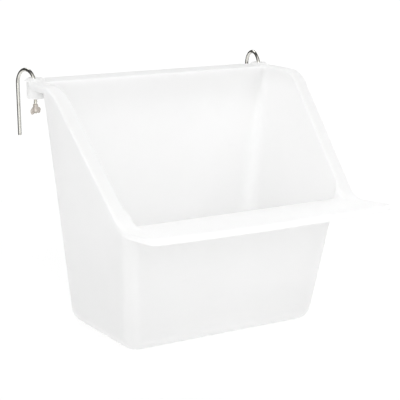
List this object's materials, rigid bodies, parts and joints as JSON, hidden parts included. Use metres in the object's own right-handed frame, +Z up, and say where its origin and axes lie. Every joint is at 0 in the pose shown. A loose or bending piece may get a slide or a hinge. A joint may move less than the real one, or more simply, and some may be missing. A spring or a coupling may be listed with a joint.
{
  "type": "hook-on feed bucket",
  "caption": "Hook-on stable feed bucket: moulded tub with sloping sides and a wide front lip, hung by bent wire hooks with wing nuts.",
  "frame": {"origin": "centre of the flat base, on the floor", "axes": "+Z up, +Y to the back, where the bucket hangs on a rail or board, +X to the bucket's left-to-right width as seen from the front"},
  "size_m": [0.4646, 0.4197, 0.4055],
  "materials": {
    "tub": "moulded white polyethylene, satin to semi-gloss",
    "hook": "bright zinc-plated wire",
    "wing_nut": "cast, zinc-plated, slightly matt"
  },
  "bodies": {
    "tub": {"tub": "tub"},
    "hook_left": {"hook_left": "hook"},
    "hook_right": {"hook_right": "hook"},
    "wing_nut_left": {"wing_nut_left": "wing_nut"},
    "wing_nut_right": {"wing_nut_right": "wing_nut"}
  },
  "joints": [
    {"name": "hook_left_swivel", "type": "hinge", "parent": "tub", "child": "hook_left", "pos_m": [-0.2106, 0.1234, 0.365], "axis": [0, 0, 1], "range_deg": [-64, 136]},
    {"name": "hook_right_swivel", "type": "hinge", "parent": "tub", "child": "hook_right", "pos_m": [0.2106, 0.1234, 0.365], "axis": [0, 0, -1], "range_deg": [-64, 136]},
    {"name": "wing_nut_left_turn", "type": "hinge", "parent": "hook_left", "child": "wing_nut_left", "pos_m": [-0.2106, 0.1234, 0.34], "axis": [0, 0, 1], "continuous": true},
    {"name": "wing_nut_right_turn", "type": "hinge", "parent": "hook_right", "child": "wing_nut_right", "pos_m": [0.2106, 0.1234, 0.345], "axis": [0, 0, 1], "continuous": true}
  ]
}
